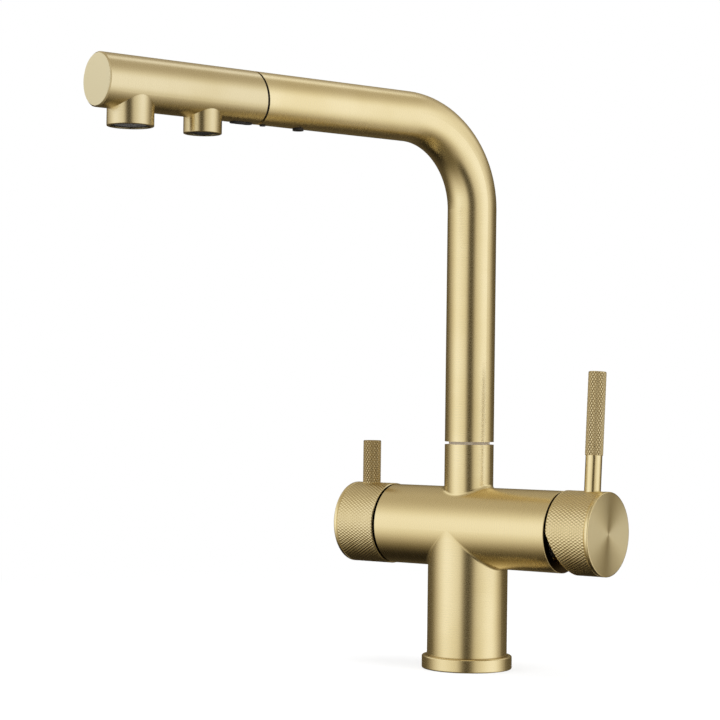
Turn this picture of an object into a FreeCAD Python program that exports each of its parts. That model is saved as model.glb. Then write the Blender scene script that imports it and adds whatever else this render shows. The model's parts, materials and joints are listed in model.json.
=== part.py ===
"""Three way filtered water tap with a pull-out twin outlet head.

Millimetres and degrees. The origin is on the worktop under the column's axis, +Z is up,
+X runs along the barrel to the mixer lever and -Y points at the sink.
"""
import FreeCAD, Part

import math
import os

Vector = FreeCAD.Vector

# Clearances
seat_gap = 0.1  # round pieces that are fixed together
running_gap = 0.06  # bearings, pins and spindles
free_gap = 0.3  # pieces that pass each other without touching
rim_match = 1e-4  # how closely a rim must match the circle it is looked for by

# Column and foot
column_radius = 24.4
column_bore = 21.4
flange_radius = 27.5
flange_height = 8.0
flange_round = 0.9
foot_web = 3.0  # flange metal under the column
foot_opening = 20.0
gasket_inner = 22.0
gasket_outer = 25.4
gasket_thickness = 1.5
cavity_height = 55.0  # where the column turns from shell to solid metal

# Barrel
barrel_height = 86.0
barrel_radius = 24.45
barrel_chamfer = 0.4
mixer_reach = 67.8
filter_reach = 53.8
saddle_fillet = 2.0
neck_fillet = 2.5

# Neck and swivel joint
neck_radius = 15.0
neck_top = 136.5
neck_bore = 11.0
neck_bore_floor = 105.0
swivel_gap = 1.7
swivel_ring_radius = 12.5
rest_swivel = 16.7  # spout turned from straight ahead towards the filter side
swivel_travel = 150.0
spigot_foot = 107.0
spigot_socket = 20.0  # length of spigot inside the riser
spigot_bore = 8.0
slip_ring_depth = 0.75
slip_ring_height = 3.0
slip_ring_low = 109.0
slip_ring_high = 131.0
ring_seal_section = 0.85
ring_seal_level = 126.5
stop_level = 119.5
stop_tip_radius = 1.5
stop_groove_depth = 1.5
stop_groove_play = 0.3

# Spout
tube_radius = 15.0
tube_wall = 2.0
arm_height = 333.2
bend_radius = 53.0
mouth_reach = 162.0
collar_lip = 1.4  # dark ring seen between the tube and the head
collar_lip_inset = 1.0
mouth_slant = 8.5  # lean of the joint's plane in degrees, its top nearer the outlets
collar_wall = 2.1
collar_tail = 2.6  # sleeve's length behind the snap peg
snap_peg_radius = 3.2
snap_peg_back = 30.2  # peg's axis behind the mouth
snap_peg_proud = 1.0
guide_peg_radius = 1.7
guide_peg_back = 5.4
guide_peg_proud = 0.6

# Pull-out head
head_length = 101.4
head_wall = 2.0
head_chamfer = 0.8
head_nose = 24.0  # core's length inside the collar
core_gap = 0.2
core_flat = 9.0  # seat of the outlet seals under the core's axis
core_key_width = 3.0
core_key_height = 1.2
core_end_margin = 3.0
channel_radius = 3.1
channel_offset = 4.6
outlet_drop = 23.6  # outlets' rims below the arm's axis
outlet_rim = 1.55
outlet_rim_chamfer = 0.5
main_outlet_back = 21.4  # outlet's axis behind the head's end
main_outlet_radius = 12.95
filter_outlet_ahead = 33.5  # outlet's axis beyond the head's start
filter_outlet_radius = 10.75
outlet_seal_height = 1.3
outlet_seal_width = 2.5
aerator_inset = 0.8
cage_wall = 1.7
cage_step = 0.6
insert_face = 1.8
nozzle_cone = 1.9
nozzle_rim_inset = 1.2
nozzle_tip_radius = 1.1
nozzle_face = 2.4
lock_plug_width = 5.4
lock_plug_length = 14.3
lock_plug_ahead = 8.0
lock_plug_proud = 0.6

# Pull-out hose
hose_radius = 6.5
hose_channel = 2.1
hose_channel_offset = 3.1
hose_nut_radius = 9.6
hose_nut_length = 10.4
ferrule_length = 17.0
ferrule_wall = 1.0

# Inlet manifold
port_circle = 15.5
port_tap_radius = 3.5
port_tap_depth = 14.0
port_channel = 2.4
inlet_angle = 38.0  # hot and cold ports either side of the mixed water port
filter_outlet_angle = 135.0
stud_tap_radius = 2.5
stud_tap_depth = 16.0
hose_passage = 9.0
port_seal_width = 1.7
port_seal_height = 1.4
port_seal_margin = 0.6
manifold_pin_radius = 1.25
manifold_pin_level = 5.4
manifold_pin_angles = (22.0, 157.5, 247.5)
manifold_pin_bite = 2.0

# Mixer cartridge, measured along the barrel from the column's axis
cartridge_seat = 24.0
cartridge_radius = 17.5
cartridge_base = 4.0
cartridge_wall = 2.9
disc_thickness = 4.0
fixed_disc_radius = 14.3
moving_disc_radius = 12.0
disc_travel = 4.0
mixing_pocket_radius = 8.3
mixing_pocket_depth = 2.0
hot_cold_port_rise = 3.0
mixed_port_drop = 6.0
slider_thickness = 4.5
slider_gap = 0.5
slider_half_width = 9.6
rotor_flange_radius = 13.8
rotor_flange_length = 4.7
rotor_radius = 11.6
rotor_end = 62.0
rotor_lug_height = 10.0
housing_shoulder = 52.0
housing_neck_radius = 15.4
housing_end = 61.0
nut_radius = 19.4
nut_end = 62.0
nut_slots = 4
nut_slot_width = 3.5
nut_slot_depth = 2.5
tilt_pivot = 51.7
tilt_range = 20.0
stem_width = 8.0
stem_neck_radius = 2.5
stem_ball_radius = 3.0
stem_square_start = 46.0
stem_end = 85.0
stem_pin_radius = 1.5
mixer_rest_turn = 3.7  # lever a little back of upright

# Knobs and levers
knob_radius = 25.0
knob_gap = 1.65
knob_round = 1.0
mixer_knob_width = 28.3
filter_knob_width = 29.0
knob_wall = 4.5
knob_boss_radius = 9.0
mixer_cavity = 10.5
mixer_boss_inset = 4.5
filter_cavity = 10.5
filter_boss_inset = 4.5
wedge_angle = 21.0
lever_stud_radius = 3.0
lever_stud_length = 9.0
lever_seat_depth = 3.0
mixer_lever_reach = 85.8
mixer_lever_radius = 4.95
mixer_lever_plain = 21.0
mixer_grip_radius = 5.35
mixer_lever_height = 70.6
filter_lever_reach = 73.2
filter_lever_radius = 5.6
filter_lever_height = 26.5
lever_chamfer = 0.4
knob_screw_radius = 2.5
knob_screw_length = 10.0
mixer_screw_reach = 82.8
filter_screw_reach = 71.0
screw_socket_radius = 1.3
screw_socket_depth = 3.0

# Filter valve, measured along the barrel from the column's axis towards the filter knob
valve_seat = 22.0
valve_chamber_radius = 13.4
valve_thread_radius = 14.0
valve_thread_start = 34.0
valve_thread_end = 43.0
barrel_end_bore = 19.5
valve_nose_radius = 10.0
valve_nose_bore = 7.5
valve_window_width = 6.0
valve_seat_seal = 2.0
valve_seat_bore = 4.0
valve_disc_thickness = 3.0
valve_disc_radius = 7.3
valve_disc_rim = 1.2
valve_disc_hub = 1.6
valve_hex_width = 24.0
valve_hex_end = 50.0
spindle_radius = 4.0
spindle_flange_length = 3.6
spindle_end = 76.0
spindle_seal_section = 0.9
spindle_seal_room = 0.2
spindle_seal_reach = 39.0
clip_thickness = 1.0
clip_radius = 6.2
clip_groove_depth = 0.8
filter_gallery_radius = 2.5
filter_gallery_drop = 4.0

# Derived places
barrel_centre = Vector(0, 0, barrel_height)
riser_foot = neck_top + swivel_gap
tube_bore = tube_radius - tube_wall
head_start = mouth_reach + collar_lip
slant_run = tube_radius * math.tan(math.radians(mouth_slant))
collar_depth = snap_peg_back + snap_peg_radius + collar_tail
collar_pegs = ((snap_peg_radius, snap_peg_back, snap_peg_proud),
               (guide_peg_radius, guide_peg_back, guide_peg_proud))
head_end = head_start + head_length
outlet_bottom = arm_height - outlet_drop
main_outlet_reach = head_end - main_outlet_back
filter_outlet_reach = head_start + filter_outlet_ahead
lock_plug_reach = head_start + lock_plug_ahead
head_bore = tube_radius - head_wall
core_radius = head_bore - core_gap
collar_bore = tube_bore - seat_gap - collar_wall
nose_radius = collar_bore - free_gap
nose_start = head_start - head_nose
hose_end = nose_start - hose_nut_length
bearing_radius = neck_bore - running_gap
slip_ring_levels = (slip_ring_low, slip_ring_high)
spigot_radius = neck_bore - free_gap
manifold_radius = column_bore - seat_gap
port_seal_radius = port_channel + port_seal_margin + port_seal_width
slider_start = cartridge_seat + cartridge_base + 2 * disc_thickness
slider_end = slider_start + slider_thickness
rotor_start = slider_end + slider_gap
rotor_flange_end = rotor_start + rotor_flange_length
housing_bore = cartridge_radius - cartridge_wall
rotor_bore = rotor_radius + running_gap
ball_arm = disc_travel / math.sin(math.radians(tilt_range))
ball_reach = tilt_pivot - ball_arm
mixer_knob_face = mixer_reach + knob_gap
mixer_knob_end = mixer_knob_face + mixer_knob_width
filter_knob_face = filter_reach + knob_gap
filter_knob_end = filter_knob_face + filter_knob_width
knob_bore = knob_radius - knob_wall
valve_disc_start = -valve_seat - valve_seat_seal
valve_disc_middle = valve_disc_start - valve_disc_thickness
valve_disc_end = valve_disc_middle - valve_disc_thickness
spindle_flange_end = valve_disc_end - spindle_flange_length
hot_cold_offset = port_circle * math.sin(math.radians(inlet_angle))


def upright(radius, bottom, top, x=0.0, y=0.0):
    """Cylinder along Z."""
    return Part.makeCylinder(radius, top - bottom, Vector(x, y, bottom), Vector(0, 0, 1))


def barrel_rod(radius, start, end, y=0.0, rise=0.0):
    """Cylinder along the barrel, start and end being X, placed off the axis by y and rise."""
    foot = Vector(min(start, end), y, barrel_height + rise)
    return Part.makeCylinder(radius, abs(end - start), foot, Vector(1, 0, 0))


def arm_rod(radius, start, end, side=0.0):
    """Cylinder along the arm before the spout is swivelled to its rest, start and end along it."""
    return Part.makeCylinder(radius, end - start, Vector(side, -start, arm_height), Vector(0, -1, 0))


def drop_rod(radius, bottom, top, reach, side=0.0):
    """Upright cylinder under the arm at a reach along it."""
    return upright(radius, bottom, top, side, -reach)


def drop_slot(width, length, bottom, top, reach):
    """Upright bar with rounded ends under the arm, its length along the arm."""
    half = length / 2 - width / 2
    bar = block((-width / 2, width / 2), (-reach - half, -reach + half), (bottom, top))
    ends = [drop_rod(width / 2, bottom, top, reach + side * half) for side in (-1, 1)]
    return bar.fuse(ends).removeSplitter()


def joint_side(reach, side):
    """Room on one side of a slanted joint plane across the arm, 1 being towards the outlets."""
    span = 2 * tube_radius
    start, end = sorted((reach, reach + side * span))
    room = block((-span, span), (-end, -start), (arm_height - span, arm_height + span))
    return room.rotated(Vector(0, -reach, arm_height), Vector(1, 0, 0), mouth_slant)


def block(x_span, y_span, z_span):
    corner = Vector(x_span[0], y_span[0], z_span[0])
    return Part.makeBox(x_span[1] - x_span[0], y_span[1] - y_span[0], z_span[1] - z_span[0], corner)


def centred_ring(centre, axis, ring_radius, section_radius):
    return Part.makeTorus(ring_radius, section_radius, centre, axis)


def hexagon_along_barrel(across_flats, start, end):
    """Hexagonal prism along the barrel."""
    corner_radius = across_flats / math.sqrt(3)
    corners = []
    for step in range(7):
        angle = math.radians(60 * step)
        rise = barrel_height + corner_radius * math.sin(angle)
        corners.append(Vector(start, corner_radius * math.cos(angle), rise))
    face = Part.Face(Part.makePolygon(corners))
    return face.extrude(Vector(end - start, 0, 0))


def rim_edges(shape, radius, test):
    """Circular edges of one radius whose centre passes the test."""
    found = []
    for edge in shape.Edges:
        curve = edge.Curve
        if curve.TypeId != "Part::GeomCircle" or abs(curve.Radius - radius) > rim_match:
            continue
        if test(curve.Center):
            found.append(edge)
    return found


def at_rest_swivel(shape):
    """Turns a piece of the spout from straight ahead to its rest."""
    return shape.rotated(Vector(0, 0, 0), Vector(0, 0, 1), -rest_swivel)


def at_rest_turn(shape):
    """Turns a piece of the mixer from upright to its rest."""
    return shape.rotated(barrel_centre, Vector(1, 0, 0), -mixer_rest_turn)


def around_column(angle):
    """Point on the circle of ports, by its angle from the mixer side."""
    turn = math.radians(angle)
    return port_circle * math.cos(turn), port_circle * math.sin(turn)


# Ports of the manifold by name, as angles round the column
ports = {"mixed": 0.0, "hot": inlet_angle, "cold": -inlet_angle, "filtered_out": filter_outlet_angle,
         "filtered_in": 180.0}
stud_angles = (90.0, -90.0)


def base_flange():
    ring = upright(flange_radius, 0, flange_height)
    rims = rim_edges(ring, flange_radius, lambda centre: True)
    ring = ring.makeFillet(flange_round, rims)
    ring = ring.cut(upright(column_radius + seat_gap, foot_web, flange_height))
    ring = ring.cut(upright(foot_opening, 0, foot_web))
    groove = upright(gasket_outer + seat_gap, 0, gasket_thickness)
    groove = groove.cut(upright(gasket_inner - seat_gap, 0, gasket_thickness))
    return ring.cut(groove)


def base_gasket():
    return upright(gasket_outer, 0, gasket_thickness).cut(upright(gasket_inner, 0, gasket_thickness))


def body_outside():
    """Column, barrel and neck cast as one, with the creases between them softened."""
    column = upright(column_radius, foot_web, barrel_height)
    barrel = barrel_rod(barrel_radius, -filter_reach, mixer_reach)
    neck = upright(neck_radius, barrel_height, neck_top)
    casting = column.fuse([barrel, neck]).removeSplitter()
    ends = rim_edges(casting, barrel_radius, lambda centre: True)
    casting = casting.makeChamfer(barrel_chamfer, ends)
    saddle = [edge for edge in casting.Edges
              if edge.BoundBox.ZMin > foot_web and edge.BoundBox.ZMax < barrel_height
              and edge.BoundBox.YLength > column_radius]
    casting = casting.makeFillet(saddle_fillet, saddle)
    root = [edge for edge in casting.Edges
            if edge.BoundBox.ZMin > barrel_height and edge.BoundBox.ZMax < neck_top
            and edge.BoundBox.ZLength > barrel_chamfer and abs(edge.BoundBox.XMax) <= neck_radius + seat_gap]
    return casting.makeFillet(neck_fillet, root)


def mixer_waterways():
    """Drilled ways from the manifold to the cartridge's seat, with the cartridge's chamber."""
    levels = {"mixed": -mixed_port_drop, "hot": hot_cold_port_rise, "cold": hot_cold_port_rise}
    tools = [barrel_rod(cartridge_radius + seat_gap, cartridge_seat, housing_shoulder),
             barrel_rod(nut_radius + seat_gap, housing_shoulder, mixer_reach)]
    for name, rise in levels.items():
        x, y = around_column(ports[name])
        tools.append(upright(port_channel, cavity_height, barrel_height + rise, x, y))
        tools.append(barrel_rod(port_channel, x - port_channel, cartridge_seat, y, rise))
    return tools


def filter_waterways():
    """Drilled ways from the manifold to the filter valve, with the valve's chamber."""
    inlet_x, inlet_y = around_column(ports["filtered_in"])
    outlet_x, outlet_y = around_column(ports["filtered_out"])
    tools = [barrel_rod(valve_chamber_radius, -valve_thread_start, -valve_seat),
             barrel_rod(valve_thread_radius, -valve_thread_end, -valve_thread_start),
             barrel_rod(barrel_end_bore, -filter_reach, -valve_thread_end)]
    tools.append(upright(port_channel, cavity_height, barrel_height, inlet_x, inlet_y))
    tools.append(barrel_rod(port_channel, -valve_seat, inlet_x + port_channel))
    gallery_height = barrel_height - filter_gallery_drop
    tools.append(upright(port_channel, cavity_height, gallery_height, outlet_x, outlet_y))
    tools.append(barrel_rod(filter_gallery_radius, -valve_seat, outlet_x + filter_gallery_radius,
                            outlet_y, -filter_gallery_drop))
    return tools


def neck_hardware_hole():
    """Threaded hole for the stop screw, at the back of the neck."""
    foot = Vector(0, 0, stop_level)
    return Part.makeCylinder(knob_screw_radius, neck_radius, foot, Vector(0, 1, 0))


def pin_holes(radius, start, end):
    """Short radial rods between the column's wall and the manifold."""
    rods = []
    for angle in manifold_pin_angles:
        turn = math.radians(angle)
        outward = Vector(math.cos(turn), math.sin(turn), 0)
        foot = outward * start + Vector(0, 0, manifold_pin_level)
        rods.append(Part.makeCylinder(radius, end - start, foot, outward))
    return rods


def tap_body():
    tools = mixer_waterways() + filter_waterways()
    tools.append(upright(column_bore, foot_web, cavity_height))
    tools.append(upright(hose_passage, cavity_height, neck_bore_floor))
    tools.append(upright(neck_bore, neck_bore_floor, neck_top))
    tools.append(neck_hardware_hole())
    tools += pin_holes(manifold_pin_radius, column_bore - manifold_pin_bite, column_radius)
    return body_outside().cut(tools)


def inlet_manifold():
    block_of_ports = upright(manifold_radius, foot_web, cavity_height)
    block_of_ports = block_of_ports.fuse(upright(foot_opening - seat_gap, 0, foot_web)).removeSplitter()
    tools = [upright(hose_passage, 0, cavity_height)]
    for angle in ports.values():
        x, y = around_column(angle)
        tools.append(upright(port_tap_radius, 0, port_tap_depth, x, y))
        tools.append(upright(port_channel, port_tap_depth, cavity_height, x, y))
        seat_floor = cavity_height - port_seal_height
        tools.append(upright(port_seal_radius + seat_gap, seat_floor, cavity_height, x, y))
    for angle in stud_angles:
        x, y = around_column(angle)
        tools.append(upright(stud_tap_radius, 0, stud_tap_depth, x, y))
    tools += pin_holes(manifold_pin_radius, manifold_radius - manifold_pin_bite, column_bore)
    return block_of_ports.cut(tools)


def manifold_seals():
    rings = []
    for angle in ports.values():
        x, y = around_column(angle)
        bottom = cavity_height - port_seal_height
        ring = upright(port_seal_radius, bottom, cavity_height, x, y)
        rings.append(ring.cut(upright(port_seal_radius - port_seal_width, bottom, cavity_height, x, y)))
    return Part.makeCompound(rings)


def manifold_pins():
    start = manifold_radius - manifold_pin_bite
    return Part.makeCompound(pin_holes(manifold_pin_radius - running_gap, start, column_radius))


def cartridge_ports(radius, start, end):
    """Hot, cold and mixed water holes through the cartridge's lower parts."""
    return [barrel_rod(radius, start, end, hot_cold_offset, hot_cold_port_rise),
            barrel_rod(radius, start, end, -hot_cold_offset, hot_cold_port_rise),
            barrel_rod(radius, start, end, 0, -mixed_port_drop)]


def cartridge_housing():
    """Cup that holds the discs, with a neck that the rotor turns in."""
    cup = barrel_rod(cartridge_radius, cartridge_seat, housing_shoulder)
    cup = cup.fuse(barrel_rod(housing_neck_radius, housing_shoulder, housing_end))
    floor_top = cartridge_seat + cartridge_base
    cavity_end = rotor_flange_end + free_gap
    tools = [barrel_rod(housing_bore, floor_top, cavity_end), barrel_rod(rotor_bore, cavity_end, housing_end)]
    tools += cartridge_ports(port_channel, cartridge_seat, floor_top)
    seal_depth = cartridge_seat + port_seal_height
    tools += cartridge_ports(port_seal_radius + seat_gap - port_seal_width / 2, cartridge_seat, seal_depth)
    return cup.cut(tools)


def cartridge_port_seals():
    end = cartridge_seat + port_seal_height
    outer = cartridge_ports(port_seal_radius - port_seal_width / 2, cartridge_seat, end)
    inner = cartridge_ports(port_channel, cartridge_seat, end)
    return Part.makeCompound([ring.cut(hole) for ring, hole in zip(outer, inner)])


def cartridge_fixed_disc():
    start = cartridge_seat + cartridge_base
    disc = barrel_rod(fixed_disc_radius, start, start + disc_thickness)
    return disc.cut(cartridge_ports(port_channel, start, start + disc_thickness))


def cartridge_moving_disc():
    """Ceramic disc whose pocket joins the ports; it rests low, with hot and cold covered."""
    start = cartridge_seat + cartridge_base + disc_thickness
    disc = barrel_rod(moving_disc_radius, start, start + disc_thickness, 0, -disc_travel / 2)
    pocket = barrel_rod(mixing_pocket_radius, start, start + mixing_pocket_depth, 0, -disc_travel / 2)
    return at_rest_turn(disc.cut(pocket))


def cartridge_slider():
    """Carries the moving disc between the rotor's lugs; the stem's ball sits in its slot."""
    slider = barrel_rod(moving_disc_radius, slider_start, slider_end, 0, -disc_travel / 2)
    reach = 2 * moving_disc_radius
    keep = block((slider_start, slider_end), (-slider_half_width, slider_half_width),
                 (barrel_height - reach, barrel_height + reach))
    slot = barrel_rod(stem_ball_radius + 2 * seat_gap, slider_start, slider_end)
    return at_rest_turn(slider.common(keep).cut(slot))


def cartridge_rotor():
    """Turns with the knob, carries the tilt pin and guides the slider."""
    rotor = barrel_rod(rotor_flange_radius, rotor_start, rotor_flange_end)
    rotor = rotor.fuse(barrel_rod(rotor_radius, rotor_flange_end, rotor_end))
    lug_start = slider_end - slider_thickness / 2
    lug_height = (barrel_height - rotor_lug_height / 2, barrel_height + rotor_lug_height / 2)
    lug_band = barrel_rod(rotor_flange_radius, lug_start, rotor_start)
    for side in (-1, 1):
        edges = sorted((side * (slider_half_width + free_gap), side * 2 * rotor_flange_radius))
        lug = block((lug_start, rotor_start), edges, lug_height).common(lug_band)
        rotor = rotor.fuse(lug)
    half = stem_width / 2 + seat_gap
    swing = math.tan(math.radians(tilt_range))
    dip = half / math.cos(math.radians(tilt_range)) + free_gap
    inner_rise = (tilt_pivot - rotor_start) * swing
    outer_drop = (rotor_end - tilt_pivot) * swing
    inner = block((rotor_start, tilt_pivot), (-half, half),
                  (barrel_height - dip, barrel_height + inner_rise + dip))
    outer = block((tilt_pivot, rotor_end), (-half, half),
                  (barrel_height - outer_drop - dip, barrel_height + dip))
    pin_hole = tilt_axis_rod(stem_pin_radius + running_gap / 2, rotor_radius)
    return at_rest_turn(rotor.cut([inner, outer, pin_hole]).removeSplitter())


def tilt_axis_rod(radius, half_length):
    """Rod along the tilt axis, before the mixer is turned to its rest."""
    foot = Vector(tilt_pivot, -half_length, barrel_height)
    return Part.makeCylinder(radius, 2 * half_length, foot, Vector(0, 1, 0))


def stem_pin():
    return at_rest_turn(tilt_axis_rod(stem_pin_radius, rotor_radius - free_gap))


def cartridge_stem():
    """Square stem on the tilt pin, ending in a ball that pushes the slider."""
    half = stem_width / 2
    square = block((stem_square_start, stem_end), (-half, half), (barrel_height - half, barrel_height + half))
    neck = barrel_rod(stem_neck_radius, ball_reach, stem_square_start)
    ball = Part.makeSphere(stem_ball_radius, Vector(ball_reach, 0, barrel_height))
    pin_hole = tilt_axis_rod(stem_pin_radius + running_gap, stem_width)
    return at_rest_turn(square.fuse([neck, ball]).cut(pin_hole).removeSplitter())


def cartridge_nut():
    nut = barrel_rod(nut_radius, housing_shoulder, nut_end)
    nut = nut.cut(barrel_rod(housing_neck_radius + seat_gap, housing_shoulder, nut_end))
    slot = block((nut_end - nut_slot_depth, nut_end), (-nut_slot_width / 2, nut_slot_width / 2),
                 (barrel_height, barrel_height + nut_radius))
    for step in range(nut_slots):
        turned = slot.rotated(barrel_centre, Vector(1, 0, 0), 360 * step / nut_slots)
        nut = nut.cut(turned)
    return nut


def knob_blank(face, end, cavity, boss_inset):
    """Turned knob hollowed from its inner face, with a boss round the stem; face and end are signed."""
    outward = 1 if end > face else -1
    blank = barrel_rod(knob_radius, face, end)
    front = rim_edges(blank, knob_radius, lambda centre: abs(centre.x - end) < rim_match)
    blank = blank.makeFillet(knob_round, front)
    hollow = barrel_rod(knob_bore, face, face + outward * cavity)
    boss = barrel_rod(knob_boss_radius, face + outward * boss_inset, face + outward * cavity)
    return blank.cut(hollow.cut(boss))


def lever_holes(reach, radius):
    """Seat and threaded hole for a lever in the top of a knob."""
    top = barrel_height + knob_radius
    seat_floor = top - lever_seat_depth
    return [upright(radius + seat_gap, seat_floor, top, reach),
            upright(lever_stud_radius + seat_gap, seat_floor - lever_stud_length, seat_floor, reach)]


def screw_hole(reach):
    """Threaded hole from under a knob up to its stem."""
    return upright(knob_screw_radius, barrel_height - knob_radius, barrel_height, reach)


def mixer_knob():
    """Knob whose lower inner edge is cut back, so that it can tilt over the barrel's end."""
    knob = knob_blank(mixer_knob_face, mixer_knob_end, mixer_cavity, mixer_boss_inset)
    depth = knob_radius + free_gap
    back = depth * math.tan(math.radians(wedge_angle))
    side = -2 * knob_radius
    corners = [Vector(mixer_knob_face, side, barrel_height),
               Vector(mixer_knob_face + back, side, barrel_height - depth),
               Vector(mixer_knob_face - back, side, barrel_height - depth)]
    wedge = Part.Face(Part.makePolygon(corners + corners[:1])).extrude(Vector(0, -2 * side, 0))
    half = stem_width / 2 + seat_gap
    boss_face = mixer_knob_face + mixer_boss_inset
    socket = block((boss_face, stem_end + free_gap), (-half, half),
                   (barrel_height - half, barrel_height + half))
    tools = [wedge, socket, screw_hole(mixer_screw_reach)]
    tools += lever_holes(mixer_lever_reach, mixer_lever_radius)
    return at_rest_turn(knob.cut(tools))


def lever_stub(reach, radius):
    """Threaded end of a lever with the length that sits in the knob's seat."""
    top = barrel_height + knob_radius
    seat_floor = top - lever_seat_depth
    stud = upright(lever_stud_radius, seat_floor - lever_stud_length, seat_floor, reach)
    return stud.fuse(upright(radius, seat_floor, top, reach))


def mixer_lever():
    base = barrel_height + knob_radius
    grip_foot = base + mixer_lever_plain
    tip = base + mixer_lever_height
    grip = upright(mixer_grip_radius, grip_foot, tip, mixer_lever_reach)
    grip = grip.makeChamfer(lever_chamfer, rim_edges(grip, mixer_grip_radius, lambda centre: True))
    plain = upright(mixer_lever_radius, base, grip_foot, mixer_lever_reach)
    lever = lever_stub(mixer_lever_reach, mixer_lever_radius).fuse([plain, grip])
    return at_rest_turn(lever.removeSplitter())


def grub_screw(reach, start):
    """Hexagon socket grub screw under a stem whose lower side is at a drop from the axis."""
    top = barrel_height - start
    bottom = top - knob_screw_length
    screw = upright(knob_screw_radius - running_gap, bottom, top, reach)
    return screw.cut(upright(screw_socket_radius, bottom, bottom + screw_socket_depth, reach))


def mixer_knob_screw():
    return at_rest_turn(grub_screw(mixer_screw_reach, stem_width / 2))


def filter_valve_seat():
    """Rubber seat between the body's gallery and the valve's discs."""
    seat = barrel_rod(valve_disc_radius, -valve_seat - valve_seat_seal, -valve_seat)
    return seat.cut(barrel_rod(valve_seat_bore, -valve_seat - valve_seat_seal, -valve_seat))


def valve_quadrants(radius, start, end, turn):
    """Two opposite quarter sectors along the barrel."""
    sectors = []
    for quarter in (0, 2):
        lower = block((start, end), (0, radius), (barrel_height, barrel_height + radius))
        sectors.append(lower.rotated(barrel_centre, Vector(1, 0, 0), 90 * quarter + turn))
    return sectors


def filter_valve_body():
    """Threaded headwork with side windows, a hexagon and the spindle's bore."""
    nose = barrel_rod(valve_nose_radius, valve_disc_start, -valve_thread_start)
    thread = barrel_rod(valve_thread_radius - seat_gap, -valve_thread_end, -valve_thread_start)
    head = hexagon_along_barrel(valve_hex_width, -valve_thread_end, -valve_hex_end)
    body = nose.fuse([thread, head])
    floor = spindle_flange_end - free_gap
    hollow = barrel_rod(valve_nose_bore, valve_disc_start, floor)
    bore = barrel_rod(spindle_radius + running_gap, floor, -valve_hex_end)
    half = valve_window_width / 2
    window = block((valve_disc_end, valve_disc_start - valve_disc_thickness), (-half, half),
                   (barrel_height - 2 * valve_nose_radius, barrel_height + 2 * valve_nose_radius))
    groove_radius = spindle_radius + spindle_seal_section + spindle_seal_room
    seal_groove = barrel_rod(groove_radius, -spindle_seal_reach - spindle_seal_section,
                             -spindle_seal_reach + spindle_seal_section)
    return body.cut([hollow, bore, window, seal_groove]).removeSplitter()


def filter_fixed_disc():
    disc = barrel_rod(valve_disc_radius, valve_disc_start, valve_disc_middle)
    ring = barrel_rod(valve_disc_radius - valve_disc_rim, valve_disc_start, valve_disc_middle)
    ring = ring.cut(barrel_rod(valve_disc_hub + running_gap, valve_disc_start, valve_disc_middle))
    openings = [sector.common(ring) for sector in valve_quadrants(valve_disc_radius, valve_disc_middle,
                                                                  valve_disc_start, 0)]
    return disc.cut(openings)


def filter_moving_disc():
    """Bow tie disc that covers the fixed disc's openings at rest and clears them at a quarter turn."""
    disc = barrel_rod(valve_disc_radius - running_gap, valve_disc_end, valve_disc_middle)
    disc = disc.cut(valve_quadrants(2 * valve_disc_radius, valve_disc_end, valve_disc_middle, 90))
    return disc.fuse(barrel_rod(valve_disc_hub, valve_disc_end, valve_disc_middle)).removeSplitter()


def filter_spindle():
    flange = barrel_rod(valve_disc_radius - free_gap, spindle_flange_end, valve_disc_end)
    shaft = barrel_rod(spindle_radius, -spindle_end, spindle_flange_end)
    clip_start = -valve_hex_end - clip_thickness - running_gap
    ring = barrel_rod(spindle_radius, clip_start, -valve_hex_end)
    ring = ring.cut(barrel_rod(spindle_radius - clip_groove_depth, clip_start, -valve_hex_end))
    seal_space = centred_ring(Vector(-spindle_seal_reach, 0, barrel_height), Vector(1, 0, 0),
                              spindle_radius, spindle_seal_section)
    return flange.fuse(shaft).cut([ring, seal_space]).removeSplitter()


def filter_spindle_seal():
    return centred_ring(Vector(-spindle_seal_reach, 0, barrel_height), Vector(1, 0, 0), spindle_radius,
                        spindle_seal_section - running_gap)


def filter_spindle_clip():
    """Open ring in the spindle's groove."""
    start = -valve_hex_end - clip_thickness
    ring = barrel_rod(clip_radius, start, -valve_hex_end)
    ring = ring.cut(barrel_rod(spindle_radius - clip_groove_depth + running_gap, start, -valve_hex_end))
    gap = block((start, -valve_hex_end), (-spindle_radius / 2, spindle_radius / 2),
                (barrel_height - 2 * clip_radius, barrel_height))
    return ring.cut(gap)


def filter_knob():
    knob = knob_blank(-filter_knob_face, -filter_knob_end, filter_cavity, filter_boss_inset)
    boss_face = -filter_knob_face - filter_boss_inset
    socket = barrel_rod(spindle_radius + seat_gap, -spindle_end - free_gap, boss_face)
    tools = [socket, screw_hole(-filter_screw_reach)] + lever_holes(-filter_lever_reach, filter_lever_radius)
    return knob.cut(tools)


def filter_lever():
    base = barrel_height + knob_radius
    rod = upright(filter_lever_radius, base, base + filter_lever_height, -filter_lever_reach)
    top = rim_edges(rod, filter_lever_radius, lambda centre: centre.z > base + lever_chamfer)
    rod = rod.makeChamfer(lever_chamfer, top)
    return lever_stub(-filter_lever_reach, filter_lever_radius).fuse(rod).removeSplitter()


def filter_knob_screw():
    return grub_screw(-filter_screw_reach, spindle_radius)


def swivel_ring():
    ring = upright(swivel_ring_radius, neck_top, riser_foot)
    return ring.cut(upright(neck_bore + seat_gap, neck_top, riser_foot))


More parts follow.
